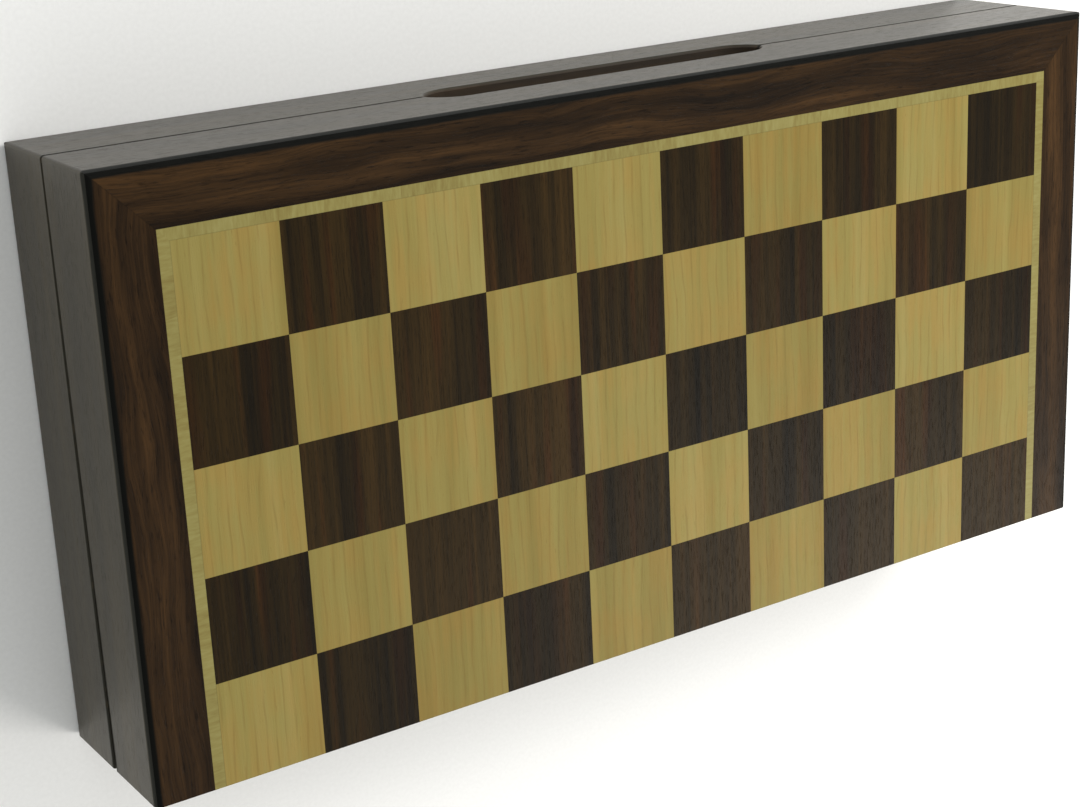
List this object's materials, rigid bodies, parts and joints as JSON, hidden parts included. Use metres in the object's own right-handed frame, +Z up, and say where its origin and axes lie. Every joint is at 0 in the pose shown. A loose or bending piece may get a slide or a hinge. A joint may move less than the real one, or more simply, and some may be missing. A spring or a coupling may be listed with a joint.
{
  "type": "folding chess set with board",
  "caption": "Folding wooden board-game case, chequered on both outer faces, with a hand slot, hinged halves and turned chessmen stored in a fitted insert.",
  "frame": {"origin": "under the middle of the closed case, on the plane of its lower playing face, hinge barrels counted", "axes": "+X along the length, +Y from the handle side to the hinge side, +Z up through the thickness from the lower playing face to the upper one"},
  "size_m": [0.363, 0.1832, 0.0594],
  "materials": {
    "walnut_rail": "dark stained, satin lacquer",
    "walnut_veneer": "straight grain, satin lacquer",
    "dark_square_veneer": "streaked dark grain, satin lacquer",
    "light_square_veneer": "fine straight grain, satin lacquer",
    "maple_banding": "cross grain, satin lacquer",
    "panel_board": "plain board, matt",
    "brass": "satin",
    "brass_screw": "satin",
    "magnet_nickel": "nickel plated",
    "felt": "wool felt",
    "insert_flock": "flocked foam",
    "light_man_wood": "boxwood, satin lacquer",
    "dark_man_wood": "dark stained, satin lacquer"
  },
  "bodies": {
    "lower_half": {"lower_handle_rail": "walnut_rail", "lower_hinge_rail": "walnut_rail", "lower_left_rail": "walnut_rail", "lower_right_rail": "walnut_rail", "lower_board_panel": "panel_board", "lower_border_veneer": "walnut_veneer", "lower_inlay_strips": "maple_banding", "lower_dark_squares": "dark_square_veneer", "lower_light_squares": "light_square_veneer", "lower_magnets": "magnet_nickel", "lower_hinge_leaves": "brass", "lower_hinge_screws": "brass_screw", "hinge_pins": "brass", "storage_insert": "insert_flock"},
    "upper_half": {"upper_handle_rail": "walnut_rail", "upper_hinge_rail": "walnut_rail", "upper_left_rail": "walnut_rail", "upper_right_rail": "walnut_rail", "upper_board_panel": "panel_board", "upper_border_veneer": "walnut_veneer", "upper_inlay_strips": "maple_banding", "upper_dark_squares": "dark_square_veneer", "upper_light_squares": "light_square_veneer", "upper_magnets": "magnet_nickel", "upper_hinge_leaves": "brass", "upper_hinge_screws": "brass_screw", "lid_lining": "felt"},
    "light_king": {"light_king": "light_man_wood"},
    "light_queen": {"light_queen": "light_man_wood"},
    "light_bishop_1": {"light_bishop_1": "light_man_wood"},
    "light_bishop_2": {"light_bishop_2": "light_man_wood"},
    "light_knight_1": {"light_knight_1": "light_man_wood"},
    "light_knight_2": {"light_knight_2": "light_man_wood"},
    "light_rook_1": {"light_rook_1": "light_man_wood"},
    "light_rook_2": {"light_rook_2": "light_man_wood"},
    "light_pawn_1": {"light_pawn_1": "light_man_wood"},
    "light_pawn_2": {"light_pawn_2": "light_man_wood"},
    "light_pawn_3": {"light_pawn_3": "light_man_wood"},
    "light_pawn_4": {"light_pawn_4": "light_man_wood"},
    "light_pawn_5": {"light_pawn_5": "light_man_wood"},
    "light_pawn_6": {"light_pawn_6": "light_man_wood"},
    "light_pawn_7": {"light_pawn_7": "light_man_wood"},
    "light_pawn_8": {"light_pawn_8": "light_man_wood"},
    "dark_king": {"dark_king": "dark_man_wood"},
    "dark_queen": {"dark_queen": "dark_man_wood"},
    "dark_bishop_1": {"dark_bishop_1": "dark_man_wood"},
    "dark_bishop_2": {"dark_bishop_2": "dark_man_wood"},
    "dark_knight_1": {"dark_knight_1": "dark_man_wood"},
    "dark_knight_2": {"dark_knight_2": "dark_man_wood"},
    "dark_rook_1": {"dark_rook_1": "dark_man_wood"},
    "dark_rook_2": {"dark_rook_2": "dark_man_wood"},
    "dark_pawn_1": {"dark_pawn_1": "dark_man_wood"},
    "dark_pawn_2": {"dark_pawn_2": "dark_man_wood"},
    "dark_pawn_3": {"dark_pawn_3": "dark_man_wood"},
    "dark_pawn_4": {"dark_pawn_4": "dark_man_wood"},
    "dark_pawn_5": {"dark_pawn_5": "dark_man_wood"},
    "dark_pawn_6": {"dark_pawn_6": "dark_man_wood"},
    "dark_pawn_7": {"dark_pawn_7": "dark_man_wood"},
    "dark_pawn_8": {"dark_pawn_8": "dark_man_wood"}
  },
  "joints": [
    {"name": "case_fold", "type": "hinge", "parent": "lower_half", "child": "upper_half", "pos_m": [0, 0.0901, 0.0297], "axis": [-1, 0, 0], "range_deg": [0, 180]},
    {"name": "light_king_lift", "type": "slide", "parent": "lower_half", "child": "light_king", "axis": [0, 0, 1], "range_m": [0, 0.02]},
    {"name": "light_queen_lift", "type": "slide", "parent": "lower_half", "child": "light_queen", "axis": [0, 0, 1], "range_m": [0, 0.02]},
    {"name": "light_bishop_1_lift", "type": "slide", "parent": "lower_half", "child": "light_bishop_1", "axis": [0, 0, 1], "range_m": [0, 0.02]},
    {"name": "light_bishop_2_lift", "type": "slide", "parent": "lower_half", "child": "light_bishop_2", "axis": [0, 0, 1], "range_m": [0, 0.02]},
    {"name": "light_knight_1_lift", "type": "slide", "parent": "lower_half", "child": "light_knight_1", "axis": [0, 0, 1], "range_m": [0, 0.02]},
    {"name": "light_knight_2_lift", "type": "slide", "parent": "lower_half", "child": "light_knight_2", "axis": [0, 0, 1], "range_m": [0, 0.02]},
    {"name": "light_rook_1_lift", "type": "slide", "parent": "lower_half", "child": "light_rook_1", "axis": [0, 0, 1], "range_m": [0, 0.02]},
    {"name": "light_rook_2_lift", "type": "slide", "parent": "lower_half", "child": "light_rook_2", "axis": [0, 0, 1], "range_m": [0, 0.02]},
    {"name": "light_pawn_1_lift", "type": "slide", "parent": "lower_half", "child": "light_pawn_1", "axis": [0, 0, 1], "range_m": [0, 0.02]},
    {"name": "light_pawn_2_lift", "type": "slide", "parent": "lower_half", "child": "light_pawn_2", "axis": [0, 0, 1], "range_m": [0, 0.02]},
    {"name": "light_pawn_3_lift", "type": "slide", "parent": "lower_half", "child": "light_pawn_3", "axis": [0, 0, 1], "range_m": [0, 0.02]},
    {"name": "light_pawn_4_lift", "type": "slide", "parent": "lower_half", "child": "light_pawn_4", "axis": [0, 0, 1], "range_m": [0, 0.02]},
    {"name": "light_pawn_5_lift", "type": "slide", "parent": "lower_half", "child": "light_pawn_5", "axis": [0, 0, 1], "range_m": [0, 0.02]},
    {"name": "light_pawn_6_lift", "type": "slide", "parent": "lower_half", "child": "light_pawn_6", "axis": [0, 0, 1], "range_m": [0, 0.02]},
    {"name": "light_pawn_7_lift", "type": "slide", "parent": "lower_half", "child": "light_pawn_7", "axis": [0, 0, 1], "range_m": [0, 0.02]},
    {"name": "light_pawn_8_lift", "type": "slide", "parent": "lower_half", "child": "light_pawn_8", "axis": [0, 0, 1], "range_m": [0, 0.02]},
    {"name": "dark_king_lift", "type": "slide", "parent": "lower_half", "child": "dark_king", "axis": [0, 0, 1], "range_m": [0, 0.02]},
    {"name": "dark_queen_lift", "type": "slide", "parent": "lower_half", "child": "dark_queen", "axis": [0, 0, 1], "range_m": [0, 0.02]},
    {"name": "dark_bishop_1_lift", "type": "slide", "parent": "lower_half", "child": "dark_bishop_1", "axis": [0, 0, 1], "range_m": [0, 0.02]},
    {"name": "dark_bishop_2_lift", "type": "slide", "parent": "lower_half", "child": "dark_bishop_2", "axis": [0, 0, 1], "range_m": [0, 0.02]},
    {"name": "dark_knight_1_lift", "type": "slide", "parent": "lower_half", "child": "dark_knight_1", "axis": [0, 0, 1], "range_m": [0, 0.02]},
    {"name": "dark_knight_2_lift", "type": "slide", "parent": "lower_half", "child": "dark_knight_2", "axis": [0, 0, 1], "range_m": [0, 0.02]},
    {"name": "dark_rook_1_lift", "type": "slide", "parent": "lower_half", "child": "dark_rook_1", "axis": [0, 0, 1], "range_m": [0, 0.02]},
    {"name": "dark_rook_2_lift", "type": "slide", "parent": "lower_half", "child": "dark_rook_2", "axis": [0, 0, 1], "range_m": [0, 0.02]},
    {"name": "dark_pawn_1_lift", "type": "slide", "parent": "lower_half", "child": "dark_pawn_1", "axis": [0, 0, 1], "range_m": [0, 0.02]},
    {"name": "dark_pawn_2_lift", "type": "slide", "parent": "lower_half", "child": "dark_pawn_2", "axis": [0, 0, 1], "range_m": [0, 0.02]},
    {"name": "dark_pawn_3_lift", "type": "slide", "parent": "lower_half", "child": "dark_pawn_3", "axis": [0, 0, 1], "range_m": [0, 0.02]},
    {"name": "dark_pawn_4_lift", "type": "slide", "parent": "lower_half", "child": "dark_pawn_4", "axis": [0, 0, 1], "range_m": [0, 0.02]},
    {"name": "dark_pawn_5_lift", "type": "slide", "parent": "lower_half", "child": "dark_pawn_5", "axis": [0, 0, 1], "range_m": [0, 0.02]},
    {"name": "dark_pawn_6_lift", "type": "slide", "parent": "lower_half", "child": "dark_pawn_6", "axis": [0, 0, 1], "range_m": [0, 0.02]},
    {"name": "dark_pawn_7_lift", "type": "slide", "parent": "lower_half", "child": "dark_pawn_7", "axis": [0, 0, 1], "range_m": [0, 0.02]},
    {"name": "dark_pawn_8_lift", "type": "slide", "parent": "lower_half", "child": "dark_pawn_8", "axis": [0, 0, 1], "range_m": [0, 0.02]}
  ]
}
